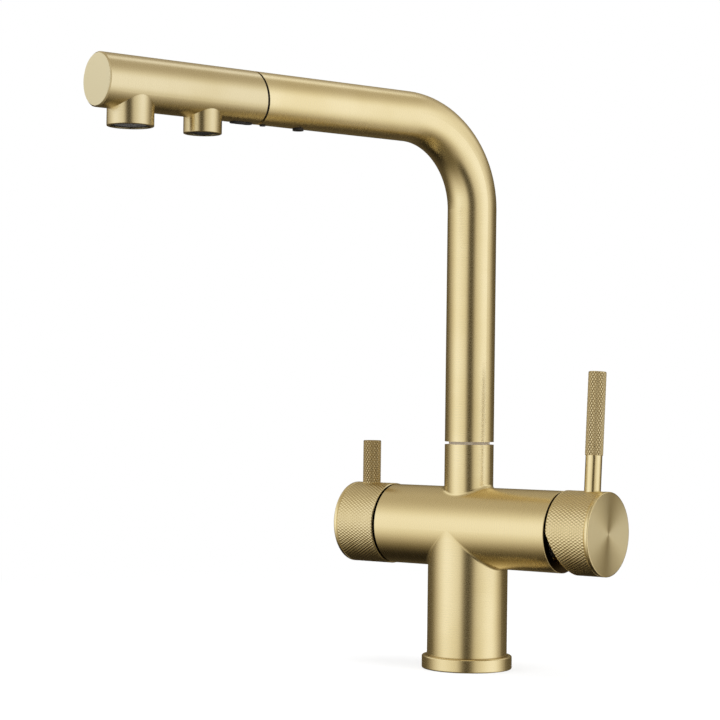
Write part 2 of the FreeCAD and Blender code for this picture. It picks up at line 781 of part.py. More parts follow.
def stop_screw():
    """Grub screw whose tip runs in the spigot's groove and stops the spout each way."""
    tip_start = spigot_radius - stop_groove_depth + free_gap
    body_start = neck_bore + seat_gap
    body_end = neck_radius - seat_gap
    foot = Vector(0, body_start, stop_level)
    screw = Part.makeCylinder(knob_screw_radius - running_gap, body_end - body_start, foot, Vector(0, 1, 0))
    tip = Part.makeCylinder(stop_tip_radius, body_start - tip_start, Vector(0, tip_start, stop_level),
                            Vector(0, 1, 0))
    socket = Part.makeCylinder(screw_socket_radius, screw_socket_depth,
                               Vector(0, body_end - screw_socket_depth, stop_level), Vector(0, 1, 0))
    return screw.fuse(tip).removeSplitter().cut(socket)


def spout_spigot():
    """Turned insert of the riser that swivels in the neck's bore."""
    spigot = upright(tube_bore - seat_gap / 2, riser_foot, riser_foot + spigot_socket)
    spigot = spigot.fuse(upright(spigot_radius, spigot_foot, riser_foot))
    tools = [upright(spigot_bore, spigot_foot, riser_foot + spigot_socket)]
    floor = bearing_radius - slip_ring_depth - seat_gap
    for level in slip_ring_levels:
        top = level + slip_ring_height + seat_gap
        tools.append(upright(neck_bore, level - seat_gap, top).cut(upright(floor, level - seat_gap, top)))
    centre = bearing_radius - ring_seal_section
    low = ring_seal_level - ring_seal_section - seat_gap
    high = ring_seal_level + ring_seal_section + seat_gap
    seal_floor = centre - ring_seal_section - running_gap
    tools.append(upright(neck_bore, low, high).cut(upright(seal_floor, low, high)))
    tools.append(stop_groove())
    return at_rest_swivel(spigot.cut(tools).removeSplitter())


def stop_groove():
    """Part ring that lets the stop screw's tip pass through the swivel's travel."""
    half_height = stop_tip_radius + stop_groove_play
    low = stop_level - half_height
    floor = spigot_radius - stop_groove_depth
    tip_angle = math.degrees(half_height / floor)
    sweep = swivel_travel + 2 * tip_angle
    outer = Part.makeCylinder(neck_bore, 2 * half_height, Vector(0, 0, low), Vector(0, 0, 1), sweep)
    outer.rotate(Vector(0, 0, 0), Vector(0, 0, 1), 90 - sweep / 2)
    return outer.cut(upright(floor, low, low + 2 * half_height))


def spigot_slip_rings():
    rings = []
    for level in slip_ring_levels:
        ring = upright(bearing_radius, level, level + slip_ring_height)
        rings.append(ring.cut(upright(bearing_radius - slip_ring_depth, level, level + slip_ring_height)))
    return Part.makeCompound(rings)


def spigot_ring_seal():
    centre = Vector(0, 0, ring_seal_level)
    return centred_ring(centre, Vector(0, 0, 1), bearing_radius - ring_seal_section, ring_seal_section)


def spout_path_solid(radius, bottom, end, side=0.0):
    """Round bar up the riser, round the bend and out along the arm."""
    bend_start = arm_height - bend_radius
    riser = upright(radius, bottom, bend_start, side)
    arm = arm_rod(radius, bend_radius, end, side)
    disc_circle = Part.makeCircle(radius, Vector(side, 0, bend_start), Vector(0, 0, 1))
    disc = Part.Face(Part.Wire(disc_circle))
    bend = disc.revolve(Vector(side, -bend_radius, bend_start), Vector(1, 0, 0), 90)
    return riser.fuse([bend, arm])


def spout_tube():
    """Round tube with a slanted mouth and a hole for each of the collar's pegs."""
    end = mouth_reach + slant_run
    tube = spout_path_solid(tube_radius, riser_foot, end)
    tube = tube.cut([spout_path_solid(tube_bore, riser_foot, end), joint_side(mouth_reach, 1)])
    for radius, back, _ in collar_pegs:
        tube = tube.cut(drop_rod(radius + seat_gap, arm_height - 2 * tube_radius, arm_height - tube_bore / 2,
                                 mouth_reach - back))
    return at_rest_swivel(tube)


def docking_collar():
    """Sleeve in the arm's mouth that guides the head, held by two pegs through the tube."""
    start = mouth_reach - collar_depth
    end = head_start + slant_run
    lip = arm_rod(tube_radius - collar_lip_inset, mouth_reach - slant_run, end)
    lip = lip.cut(joint_side(mouth_reach, -1))
    sleeve = arm_rod(tube_bore - seat_gap, start, end).fuse(lip)
    half = core_key_width / 2 + free_gap
    keyway_floor = arm_height - collar_bore - core_key_height - free_gap
    keyway = block((-half, half), (-end, -start), (keyway_floor, arm_height))
    collar = sleeve.cut([arm_rod(collar_bore, start, end), keyway, joint_side(head_start, 1)])
    for radius, back, proud in collar_pegs:
        peg_bottom = arm_height - tube_radius - proud
        collar = collar.fuse(drop_rod(radius, peg_bottom, keyway_floor, mouth_reach - back))
    return at_rest_swivel(collar.removeSplitter())


def pull_out_hose():
    """Twin bore hose along its way inside the tap, from the foot to the head's nut."""
    hose = spout_path_solid(hose_radius, 0, hose_end)
    for side in (-1, 1):
        hose = hose.cut(spout_path_solid(hose_channel, 0, hose_end, side * hose_channel_offset))
    return at_rest_swivel(hose)


def outlet_bores():
    """Radius and reach of the bore in each outlet."""
    return {"main": (main_outlet_radius - outlet_rim, main_outlet_reach),
            "filter": (filter_outlet_radius - outlet_rim, filter_outlet_reach)}


def lock_plug_room(bottom):
    """Room for the lock plug from a level up to its seat in the core."""
    return drop_slot(lock_plug_width + 2 * seat_gap, lock_plug_length + 2 * seat_gap, bottom,
                     arm_height - core_flat, lock_plug_reach)


def head_shell():
    """Closed tube with the two outlets cast under it."""
    tube = arm_rod(tube_radius, head_start - slant_run, head_end).cut(joint_side(head_start, -1))
    main = drop_rod(main_outlet_radius, outlet_bottom, arm_height, main_outlet_reach)
    side = drop_rod(filter_outlet_radius, outlet_bottom, arm_height, filter_outlet_reach)
    shell = tube.fuse([main, side]).removeSplitter()
    for radius in (main_outlet_radius, filter_outlet_radius):
        rim = rim_edges(shell, radius, lambda centre: abs(centre.z - outlet_bottom) < rim_match)
        shell = shell.makeFillet(outlet_rim_chamfer, rim)
    front = rim_edges(shell, tube_radius, lambda centre: abs(centre.y + head_end) < rim_match)
    shell = shell.makeChamfer(head_chamfer, front)
    tools = [arm_rod(head_bore, head_start - slant_run, head_end - head_wall)]
    for radius, reach in outlet_bores().values():
        tools.append(drop_rod(radius, outlet_bottom, arm_height - core_flat, reach))
    tools.append(lock_plug_room(arm_height - 2 * tube_radius))
    return at_rest_swivel(shell.cut(tools))


def head_core():
    """Waterway body with one channel to each outlet and a keyed nose for the docking collar."""
    core = arm_rod(core_radius, head_start - slant_run, head_end - head_wall - core_end_margin)
    core = core.cut(joint_side(head_start, -1)).fuse(arm_rod(nose_radius, nose_start, head_start + slant_run))
    half = core_key_width / 2
    key_bottom = arm_height - collar_bore - core_key_height
    key = block((-half, half), (-head_start, -nose_start), (key_bottom, arm_height))
    core = core.fuse(key.cut(arm_rod(nose_radius / 2, nose_start, head_start)))
    flat_level = arm_height - core_flat
    tools = []
    for name, (radius, reach) in outlet_bores().items():
        side = channel_offset if name == "main" else -channel_offset
        tools.append(arm_rod(channel_radius, nose_start, reach, side))
        tools.append(drop_rod(channel_radius, flat_level, arm_height, reach, side))
        tools.append(block((-tube_radius, tube_radius), (-reach - radius, -reach + radius),
                           (arm_height - tube_radius, flat_level)))
    tools.append(lock_plug_room(arm_height - tube_radius))
    return at_rest_swivel(core.cut(tools).removeSplitter())


def outlet_seals():
    top = arm_height - core_flat
    rings = []
    for radius, reach in outlet_bores().values():
        outer = radius - 2 * seat_gap
        ring = drop_rod(outer, top - outlet_seal_height, top, reach)
        ring = ring.cut(drop_rod(outer - outlet_seal_width, top - outlet_seal_height, top, reach))
        rings.append(at_rest_swivel(ring))
    return Part.makeCompound(rings)


def main_aerator_cage():
    """Threaded ring that holds the aerator against its seal."""
    radius, reach = outlet_bores()["main"]
    top = arm_height - core_flat - outlet_seal_height
    bottom = outlet_bottom + aerator_inset
    ring = drop_rod(radius - seat_gap, bottom, top, reach)
    return at_rest_swivel(ring.cut(drop_rod(radius - seat_gap - cage_wall, bottom, top, reach)))


def main_aerator_insert():
    """Aerator body with its face a step inside the cage."""
    radius, reach = outlet_bores()["main"]
    top = arm_height - core_flat - outlet_seal_height
    bottom = outlet_bottom + aerator_inset + cage_step
    outer = radius - seat_gap - cage_wall - seat_gap
    insert = drop_rod(outer, bottom, top, reach)
    well = drop_rod(outer - cage_wall, bottom + insert_face, top, reach)
    return at_rest_swivel(insert.cut(well))


def filter_outlet_nozzle():
    """Flow straightener with a shallow coned face that stands a little below the rim."""
    radius, reach = outlet_bores()["filter"]
    outer = radius - seat_gap
    top = arm_height - core_flat - outlet_seal_height
    shoulder = outlet_bottom + nozzle_rim_inset
    body = drop_rod(outer, shoulder, top, reach)
    cone = Part.makeCone(outer, nozzle_tip_radius, nozzle_cone, Vector(0, -reach, shoulder), Vector(0, 0, -1))
    well = drop_rod(outer - cage_wall, shoulder + nozzle_face, top, reach)
    return at_rest_swivel(body.fuse(cone).cut(well))


def core_lock_plug():
    """Oblong plug under the head that locks the core in the shell."""
    bottom = arm_height - tube_radius - lock_plug_proud
    plug = drop_slot(lock_plug_width, lock_plug_length, bottom, arm_height - core_flat, lock_plug_reach)
    lowest = [edge for edge in plug.Edges if edge.BoundBox.ZMax < bottom + rim_match]
    return at_rest_swivel(plug.makeChamfer(lock_plug_proud / 2, lowest))


def hose_nut():
    """Brass fitting between the hose and the head's core."""
    nut = arm_rod(hose_nut_radius, hose_end, nose_start)
    for side in (-1, 1):
        nut = nut.cut(arm_rod(hose_channel, hose_end, nose_start, side * hose_channel_offset))
    return at_rest_swivel(nut)


def hose_ferrule():
    """Crimped sleeve round the hose's end."""
    sleeve = arm_rod(hose_radius + running_gap + ferrule_wall, hose_end - ferrule_length, hose_end)
    return at_rest_swivel(sleeve.cut(arm_rod(hose_radius + running_gap, hose_end - ferrule_length, hose_end)))


pieces = (
    base_flange, base_gasket, tap_body, inlet_manifold, manifold_seals, manifold_pins,
    cartridge_housing, cartridge_port_seals, cartridge_fixed_disc, cartridge_moving_disc, cartridge_slider,
    cartridge_rotor, stem_pin, cartridge_stem, cartridge_nut, mixer_knob, mixer_lever, mixer_knob_screw,
    filter_valve_seat, filter_valve_body, filter_fixed_disc, filter_moving_disc, filter_spindle,
    filter_spindle_seal, filter_spindle_clip, filter_knob, filter_lever, filter_knob_screw,
    swivel_ring, stop_screw, spout_spigot, spigot_slip_rings, spigot_ring_seal, spout_tube, docking_collar,
    pull_out_hose, head_shell, head_core, outlet_seals, main_aerator_cage, main_aerator_insert,
    filter_outlet_nozzle, core_lock_plug, hose_nut, hose_ferrule,
)

os.makedirs("parts", exist_ok=True)
for piece in pieces:
    shape = piece()
    shape.exportStep(f"parts/{piece.__name__}.step")
    print(piece.__name__, len(shape.Solids), "solid", round(shape.Volume / 1000, 2), "cm3", shape.isValid())
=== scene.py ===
import json
import math
import bpy
from mathutils import Matrix, Vector


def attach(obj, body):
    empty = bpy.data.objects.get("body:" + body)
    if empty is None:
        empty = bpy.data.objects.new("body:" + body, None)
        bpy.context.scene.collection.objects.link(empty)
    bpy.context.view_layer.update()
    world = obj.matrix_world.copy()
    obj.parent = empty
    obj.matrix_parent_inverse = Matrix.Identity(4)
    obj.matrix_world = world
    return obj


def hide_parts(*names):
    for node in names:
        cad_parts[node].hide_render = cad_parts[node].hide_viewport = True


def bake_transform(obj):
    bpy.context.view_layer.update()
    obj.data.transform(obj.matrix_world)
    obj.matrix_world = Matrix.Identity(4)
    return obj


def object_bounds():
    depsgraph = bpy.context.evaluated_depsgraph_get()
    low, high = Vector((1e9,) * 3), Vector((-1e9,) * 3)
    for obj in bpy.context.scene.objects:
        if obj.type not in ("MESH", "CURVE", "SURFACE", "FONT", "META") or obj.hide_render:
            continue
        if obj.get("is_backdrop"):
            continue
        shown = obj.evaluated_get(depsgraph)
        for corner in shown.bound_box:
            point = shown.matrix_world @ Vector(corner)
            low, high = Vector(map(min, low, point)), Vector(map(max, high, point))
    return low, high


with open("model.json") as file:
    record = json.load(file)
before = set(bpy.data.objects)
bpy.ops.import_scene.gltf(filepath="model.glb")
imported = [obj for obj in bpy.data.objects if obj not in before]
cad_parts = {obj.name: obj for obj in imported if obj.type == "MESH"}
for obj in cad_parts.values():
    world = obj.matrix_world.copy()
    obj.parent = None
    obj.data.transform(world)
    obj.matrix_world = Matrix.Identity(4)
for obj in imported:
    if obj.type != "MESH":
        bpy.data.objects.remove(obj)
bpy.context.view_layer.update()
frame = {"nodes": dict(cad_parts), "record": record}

print("packed tap loaded")

mm = 0.001
barrelAxis = Vector((0.0, 0.0, 0.086))
spoutTurn = Matrix.Rotation(math.radians(-16.7), 4, "Z")
mixerTurn = (Matrix.Translation(barrelAxis) @ Matrix.Rotation(math.radians(-3.7), 4, "X")
             @ Matrix.Translation(-barrelAxis))
armWay = spoutTurn @ Vector((0.0, -1.0, 0.0))  # from the riser towards the outlets
armHeight = 333.2 * mm
bendRadius = 53.0 * mm
barrelRadius = 24.45 * mm
barrelEnds = (-53.8 * mm, 67.8 * mm)
footTop = 7.9 * mm
headEnd = 264.8 * mm  # reach of the head's flat end
outletTop = 318.6 * mm


class Wire:
    # an output socket that can be added, multiplied and so on like a number
    def __init__(self, bench, socket):
        self.bench = bench
        self.socket = socket

    def other(self, name):
        return Wire(self.bench, self.socket.node.outputs[name])

    def maths(self, operation, *parts):
        return self.bench.node("ShaderNodeMath", {"operation": operation}, dict(enumerate(parts)))

    def __add__(self, more):
        return self.maths("ADD", self, more)

    def __radd__(self, more):
        return self.maths("ADD", more, self)

    def __sub__(self, less):
        return self.maths("SUBTRACT", self, less)

    def __rsub__(self, whole):
        return self.maths("SUBTRACT", whole, self)

    def __mul__(self, times):
        return self.maths("MULTIPLY", self, times)

    def __rmul__(self, times):
        return self.maths("MULTIPLY", times, self)

    def __truediv__(self, parts):
        return self.maths("DIVIDE", self, parts)

    def __neg__(self):
        return self.maths("MULTIPLY", self, -1.0)

    def __abs__(self):
        return self.maths("ABSOLUTE", self)

    def low(self, other):
        return self.maths("MINIMUM", self, other)

    def high(self, other):
        return self.maths("MAXIMUM", self, other)

    def root(self):
        return self.maths("SQRT", self)

    def sine(self):
        return self.maths("SINE", self)

    def angleTo(self, across):
        return self.maths("ARCTAN2", self, across)

    def rise(self, start, end):
        return self.bench.node("ShaderNodeMapRange", {"interpolation_type": "SMOOTHSTEP"},
                               {"Value": self, "From Min": start, "From Max": end})


socketNames = {
    "colour": "Base Color",
    "roughness": "Roughness",
    "metallic": "Metallic",
    "normal": "Normal",
    "coat": "Coat Weight",
    "coatRoughness": "Coat Roughness",
    "specular": "Specular IOR Level",
    "anisotropic": "Anisotropic",
    "turn": "Anisotropic Rotation",
}


class Bench:
    # the nodes of one material or of the world
    def __init__(self, tree):
        self.tree = tree
        tree.nodes.clear()

    def node(self, kind, settings=None, sockets=None, out=0):
        made = self.tree.nodes.new(kind)
        for name, value in (settings or {}).items():
            if name == "stops":
                ramp = made.color_ramp
                while len(ramp.elements) < len(value):
                    ramp.elements.new(0.5)
                for element, (place, colour) in zip(ramp.elements, value):
                    element.position = place
                    element.color = colour
            else:
                setattr(made, name, value)
        for name, value in (sockets or {}).items():
            if isinstance(value, Wire):
                self.tree.links.new(value.socket, made.inputs[name])
            else:
                made.inputs[name].default_value = value
        return Wire(self, made.outputs[out]) if len(made.outputs) else made

    def place(self):
        # the point's x, y and z in metres at rest
        point = self.node("ShaderNodeTexCoord").other("Object")
        split = self.node("ShaderNodeSeparateXYZ", None, {0: point})
        return point, split.other("X"), split.other("Y"), split.other("Z")

    def vector(self, x, y, z):
        return self.node("ShaderNodeCombineXYZ", None, {0: x, 1: y, 2: z})

    def vectors(self, operation, *parts):
        return self.node("ShaderNodeVectorMath", {"operation": operation}, dict(enumerate(parts)))

    def scaled(self, vector, size):
        return self.node("ShaderNodeVectorMath", {"operation": "SCALE"}, {0: vector, "Scale": size})

    def noise(self, vector, scale, detail=2.0, roughness=0.5):
        return self.node("ShaderNodeTexNoise", {"noise_dimensions": "3D"},
                         {"Vector": vector, "Scale": scale, "Detail": detail, "Roughness": roughness})

    def mixColour(self, share, first, second, blend="MIX"):
        return self.node("ShaderNodeMix", {"data_type": "RGBA", "blend_type": blend},
                         {0: share, 6: first, 7: second}, 2)

    def stored(self, name):
        return self.node("ShaderNodeAttribute", {"attribute_name": name}).other("Fac")

    def leaned(self, along, amount):
        # the normal, leaned along a direction of the part by an amount that changes from line to line
        turned = self.node("ShaderNodeVectorTransform",
                           {"vector_type": "VECTOR", "convert_from": "OBJECT", "convert_to": "WORLD"},
                           {0: along})
        normal = self.node("ShaderNodeNewGeometry").other("Normal")
        return self.vectors("NORMALIZE", self.vectors("ADD", normal, self.scaled(turned, amount)))

    def finish(self, **sockets):
        named = {socketNames[key]: value for key, value in sockets.items()}
        shader = self.node("ShaderNodeBsdfPrincipled", None, named)
        self.node("ShaderNodeOutputMaterial", None, {"Surface": shader})


def newMaterial(name):
    material = bpy.data.materials.new(name)
    material.use_nodes = True
    return material, Bench(material.node_tree)


def rgb(red, green, blue):
    return (red, green, blue, 1.0)


brass = {
    "colour": rgb(0.97, 0.845, 0.54),
    "deep": rgb(0.90, 0.765, 0.45),
    # painted shade: the dark colour for the knurl grooves and for the creases at the foot
    "groove": rgb(0.34, 0.235, 0.10),
    # painted shade for the barrel's end faces and the knobs' hollows
    "recess": rgb(0.10, 0.068, 0.03),
    "dull": rgb(0.88, 0.88, 0.90),
    "pale": rgb(1.0, 0.93, 0.69),
    # painted shade that darkens the levers' grips
    "paintedGripShade": rgb(0.60, 0.565, 0.52),
    "roughness": 0.27,
    "roughnessSpread": 0.03,
    "lineScale": 5200.0,  # turning lines per metre
    "lean": 0.065,
    "coat": 0.05,
    "coatRoughness": 0.35,
    "deepShare": 0.1008,
}


def brassTone(bench, point, lines):
    # slow patches of tone with faint light and dark turning lines
    patches = bench.noise(point, 22.0, 3.0)
    tone = bench.mixColour(patches.rise(0.35, 0.68), brass["colour"], brass["deep"])
    tone = bench.mixColour(brass["deepShare"], tone, brass["deep"])
    streak = lines.rise(0.36, 0.66)
    return bench.mixColour(streak * 0.2, tone, brass["deep"])


def lineNoise(bench, along, point, scale=None):
    # fine lines across the run of a bar: quick change along it, slow change round it
    _, x, y, z = point
    size = scale or brass["lineScale"]
    return bench.noise(bench.vector(along * size, (x + y) * 60.0, (z - x) * 60.0), 1.0, 2.0, 0.6)


def finishBrass(bench, tone, lines, along, lean=None, roughness=None):
    base = brass["roughness"] if roughness is None else roughness
    rough = base + (lines - 0.5) * brass["roughnessSpread"] * 2
    amount = (lines - 0.5) * (brass["lean"] if lean is None else lean)
    bench.finish(colour=tone, roughness=rough, metallic=1.0, normal=bench.leaned(along, amount),
                 coat=brass["coat"], coatRoughness=brass["coatRoughness"])


def castingBrass():
    # column and neck are brushed round Z, the barrel round X
    material, bench = newMaterial("satinCasting")
    point = bench.place()
    _, x, y, z = point
    rise = z - barrelAxis.z
    fromBarrel = (y * y + rise * rise).root()
    onBarrel = 1.0 - abs(fromBarrel - barrelRadius).rise(0.15 * mm, 0.9 * mm)
    along = x * onBarrel + z * (1.0 - onBarrel)
    lines = lineNoise(bench, along, point)
    way = bench.vector(onBarrel, 0.0, 1.0 - onBarrel)
    # painted shade: the end faces behind the knobs are darkened where the knobs shade them
    paintedEndFaceShade = x.rise(barrelEnds[1] - 0.3 * mm, barrelEnds[1] - 0.05 * mm)
    paintedEndFaceShade = paintedEndFaceShade.high((-x).rise(-barrelEnds[0] - 0.3 * mm, -barrelEnds[0] - 0.05 * mm))
    tone = bench.mixColour(onBarrel * 0.85, brassTone(bench, point[0], lines), brass["deep"])
    tone = bench.mixColour(paintedEndFaceShade, tone, brass["recess"])
    paintedFootShade = 1.0 - z.rise(footTop, footTop + 0.8 * mm)  # painted shade: a dark line in the crease above the foot ring
    finishBrass(bench, bench.mixColour(paintedFootShade * 0.8, tone, brass["groove"]), lines, way)
    return material


def spoutBrass():
    # the lines follow the tube up the riser, round the bend and out along the arm
    material, bench = newMaterial("satinSpout")
    point = bench.place()
    _, x, y, z = point
    reach = x * armWay.x + y * armWay.y
    bendHeight = armHeight - bendRadius
    up = (z - bendHeight).high(0.0)
    back = (bendRadius - reach).high(0.0)
    along = z.low(bendHeight) + up.angleTo(back) * bendRadius + (reach - bendRadius).high(0.0)
    lines = lineNoise(bench, along, point)
    way = bench.vectors("NORMALIZE", bench.vector(up * armWay.x, up * armWay.y, back))
    finishBrass(bench, brassTone(bench, point[0], lines), lines, way)
    return material


def headBrass():
    material, bench = newMaterial("satinHead")
    point = bench.place()
    _, x, y, z = point
    reach = x * armWay.x + y * armWay.y
    outlets = 1.0 - z.rise(outletTop - 0.8 * mm, outletTop)
    along = reach * (1.0 - outlets) + z * outlets
    lines = lineNoise(bench, along, point)
    turned = 1.0 - outlets
    way = bench.vector(turned * armWay.x, turned * armWay.y, outlets)
    tone = bench.mixColour(1.0, brassTone(bench, point[0], lines), brass["dull"], "MULTIPLY")
    closed = reach.rise(headEnd - 0.25 * mm, headEnd - 0.1 * mm)  # the flat end, satin without lines
    tone = bench.mixColour(closed, tone, brass["pale"])
    finishBrass(bench, tone, lines, way, None, brass["roughness"] + closed * 0.16)
    return material


def footBrass():
    # turned on a lathe: rings round Z on the edge and on the ledge
    material, bench = newMaterial("turnedFoot")
    point = bench.place()
    _, x, y, z = point
    fromAxis = (x * x + y * y).root()
    lines = lineNoise(bench, z + fromAxis, point, 3600.0)
    outward = bench.vector(x / fromAxis, y / fromAxis, 0.0)
    ledge = z.rise(footTop - 0.7 * mm, footTop)
    way = bench.vectors("ADD", bench.scaled(outward, ledge), bench.vector(0.0, 0.0, 1.0 - ledge))
    # painted shade: a dark line on the ledge where it meets the column
    paintedLedgeShade = ledge * (1.0 - fromAxis.rise(24.7 * mm, 25.5 * mm))
    tone = bench.mixColour(paintedLedgeShade * 0.8, brassTone(bench, point[0], lines), brass["groove"])
    finishBrass(bench, tone, lines, way, 0.14)
    return material


def leverBrass():
    material, bench = newMaterial("satinLever")
    point = bench.place()
    lines = lineNoise(bench, point[3], point)
    groove = bench.stored("groove")
    tone = brassTone(bench, point[0], lines)
    # painted shade: the grips are darkened, the short lever's more than the long one's
    tone = bench.mixColour(bench.stored("shade"), tone, brass["paintedGripShade"], "MULTIPLY")
    # painted shade darkens the knurl grooves
    tone = bench.mixColour(groove.rise(0.05, 0.8) * 0.85, tone, brass["groove"])
    finishBrass(bench, tone, lines, bench.vector(0.0, 0.0, 1.0), 0.04, 0.24)
    return material


def knobBrass():
    # knurled round the edge
    material, bench = newMaterial("knurledBrass")
    point = bench.place()
    lines = lineNoise(bench, point[1], point)
    tone = brassTone(bench, point[0], lines)
    # painted shade darkens the knurl grooves
    tone = bench.mixColour(bench.stored("groove").rise(0.3, 1.0) * 0.35, tone, brass["groove"])
    # painted shade darkens the hollow inside the knob
    tone = bench.mixColour(bench.stored("recess"), tone, brass["recess"])
    finishBrass(bench, tone, lines, bench.vector(1.0, 0.0, 0.0), 0.05, 0.25)
    return material


def spunBrass():
    # rings of a turning tool round the middle of a knob's face, which spread a highlight into a double fan
    material, bench = newMaterial("spunBrass")
    point, x, y, z = bench.place()
    fromAxis = (x * x + y * y).root()
    rings = bench.noise(bench.vector(fromAxis * 2600.0, 0.0, 0.0), 1.0, 3.0, 0.6)
    tone = bench.mixColour(0.3, brassTone(bench, point, rings), brass["pale"])
    rough = 0.47 + (rings - 0.5) * 0.12
    bench.finish(colour=tone, roughness=rough, metallic=1.0, anisotropic=0.9, turn=0.25, coat=brass["coat"],
                 coatRoughness=brass["coatRoughness"])
    return material


def plainMetal(name, colour, dark, roughness, scale):
    material, bench = newMaterial(name)
    point = bench.place()
    grain = bench.noise(point[0], scale, 4.0)
    tone = bench.mixColour(grain.rise(0.3, 0.7), colour, dark)
    height = bench.noise(point[0], scale * 6, 2.0)
    normal = bench.node("ShaderNodeBump", None, {"Strength": 0.08, "Distance": 0.0002, "Height": height})
    bench.finish(colour=tone, roughness=roughness + grain * 0.12, metallic=1.0, normal=normal)
    return material


def plainMould(name, colour, dark, roughness, scale, bump=0.12, specular=0.5):
    # moulded or pressed: fine surface grain with a slow change of tone
    material, bench = newMaterial(name)
    point = bench.place()
    grain = bench.noise(point[0], scale, 4.0)
    tone = bench.mixColour(grain.rise(0.25, 0.75), colour, dark)
    height = bench.noise(point[0], scale * 9, 2.0)
    normal = bench.node("ShaderNodeBump", None, {"Strength": bump, "Distance": 0.0002, "Height": height})
    bench.finish(colour=tone, roughness=roughness + grain * 0.15, metallic=0.0, normal=normal,
                 specular=specular)
    return material


def hoseSleeve():
    # strands woven in two spirals, from the hose's own run and turn
    material, bench = newMaterial("wovenSleeve")
    run = bench.stored("along") * 1000.0
    turn = bench.stored("around")
    strands = 16.0
    first = run * 0.22 + turn * strands
    second = run * 0.22 - turn * strands
    over = (first * math.pi * 2).sine() * 0.5 + 0.5
    under = (second * math.pi * 2).sine() * 0.5 + 0.5
    check = ((first * math.pi).sine() * (second * math.pi).sine()).rise(-0.25, 0.25)
    height = over * check + under * (1.0 - check)
    fibre = bench.noise(bench.vector(run, turn * 40.0, 0.0), 3.0, 3.0)
    tone = bench.mixColour(height.rise(0.1, 0.9), rgb(0.11, 0.11, 0.12), rgb(0.44, 0.44, 0.45))
    tone = bench.mixColour(fibre.rise(0.4, 0.7) * 0.3, tone, rgb(0.22, 0.22, 0.23))
    normal = bench.node("ShaderNodeBump", None, {"Strength": 0.6, "Distance": 0.0004, "Height": height})
    bench.finish(colour=tone, roughness=0.62 - height * 0.12, metallic=0.0, normal=normal)
    return material


finishes = {
    "casting": castingBrass(),
    "spout": spoutBrass(),
    "head": headBrass(),
    "foot": footBrass(),
    "lever": leverBrass(),
    "knob": knobBrass(),
    "knobFace": spunBrass(),
    "rawBrass": plainMetal("machinedBrass", rgb(0.74, 0.56, 0.27), rgb(0.62, 0.45, 0.2), 0.3, 260.0),
    "steel": plainMetal("screwSteel", rgb(0.58, 0.57, 0.55), rgb(0.46, 0.45, 0.44), 0.28, 300.0),
    "rubber": plainMould("sealRubber", rgb(0.022, 0.022, 0.022), rgb(0.045, 0.043, 0.04), 0.62, 180.0, 0.2),
    "whitePlastic": plainMould("paleWasher", rgb(0.66, 0.59, 0.49), rgb(0.54, 0.46, 0.36), 0.42, 160.0),
    # painted shade: the white plastic cartridge parts are coloured near black, as they sit in shade inside
    # the knobs
    "paintedShadeCartridge": plainMould("shadedCartridgeMoulding", rgb(0.035, 0.029, 0.022), rgb(0.055, 0.046, 0.036),
                            0.6, 180.0, 0.12, 0.2),
    "blackPlastic": plainMould("blackMoulding", rgb(0.014, 0.012, 0.011), rgb(0.024, 0.021, 0.019),
                               0.62, 220.0, 0.12, 0.15),
    "greyPlastic": plainMould("greyInsert", rgb(0.05, 0.048, 0.046), rgb(0.075, 0.072, 0.07), 0.55, 240.0),
    "ceramic": plainMould("valveCeramic", rgb(0.80, 0.79, 0.77), rgb(0.72, 0.71, 0.69), 0.16, 120.0, 0.03),
    "hose": hoseSleeve(),
}

# the cartridge parts get painted shade instead of their white plastic
nodeFinishes = {
    "tap_body": "casting", "spout_tube": "spout", "head_shell": "head", "base_flange": "foot",
    "cartridge_housing": "paintedShadeCartridge", "cartridge_rotor": "paintedShadeCartridge", "cartridge_slider": "paintedShadeCartridge",
}
slotFinishes = {
    "brushed_brass": "casting", "turned_brass": "foot", "raw_brass": "rawBrass", "steel": "steel",
    "rubber": "rubber", "white_plastic": "whitePlastic", "black_plastic": "blackPlastic",
    "grey_plastic": "greyPlastic", "ceramic": "ceramic", "hose_sleeve": "hose",
}
slotOfNode = {part["node"]: part["material_slot"] for part in frame["record"]["subparts"]}
for name, node in frame["nodes"].items():
    finish = nodeFinishes.get(name) or slotFinishes[slotOfNode[name]]
    node.data.materials.clear()
    node.data.materials.append(finishes[finish])
print("finishes on the packed pieces")


def smooth(share):
    share = max(0.0, min(1.0, share))
    return share * share * (3 - 2 * share)


def meshPiece(name, points, faces, material, stored=None, turn=None, rounded=True):
    mesh = bpy.data.meshes.new(name)
    mesh.from_pydata([tuple(turn @ Vector(p)) if turn else tuple(p) for p in points], [], faces)
    mesh.materials.append(material)
    for key, values in (stored or {}).items():
        layer = mesh.attributes.new(key, "FLOAT", "POINT")
        layer.data.foreach_set("value", values)
    mesh.polygons.foreach_set("use_smooth", [rounded] * len(mesh.polygons))
    mesh.update()
    piece = bpy.data.objects.new(name, mesh)
    bpy.context.scene.collection.objects.link(piece)
    return piece


def sharpen(piece, degrees):
    # creases sharper than the angle keep a hard edge
    piece.data.set_sharp_from_angle(angle=math.radians(degrees))
    return piece


def ringFaces(rows, columns, closed=True):
    faces = []
    for row in range(rows - 1):
        for column in range(columns if closed else columns - 1):
            following = (column + 1) % columns
            faces.append((row * columns + column, row * columns + following,
                          (row + 1) * columns + following, (row + 1) * columns + column))
    return faces


def knurlDepth(run, turn, pitchRun, starts, flat):
    # 0 on the diamonds' flat tips and 1 in the crossing grooves; turn goes once from 0 to 1
    first = run / pitchRun + turn * starts
    second = run / pitchRun - turn * starts
    tip = 0.0
    for phase in (first, second):
        share = abs(phase - round(phase)) * 2  # 0 in the groove and 1 on the ridge between
        tip = max(tip, 1.0 - share)
    return max(0.0, (tip - flat) / (1 - flat))


knurl = {
    "pitchRun": 2.94 * mm,
    "depth": 0.3 * mm,
    "toothSteps": 6,
    "rowStep": 0.3 * mm,
    "fade": 0.35 * mm,
}

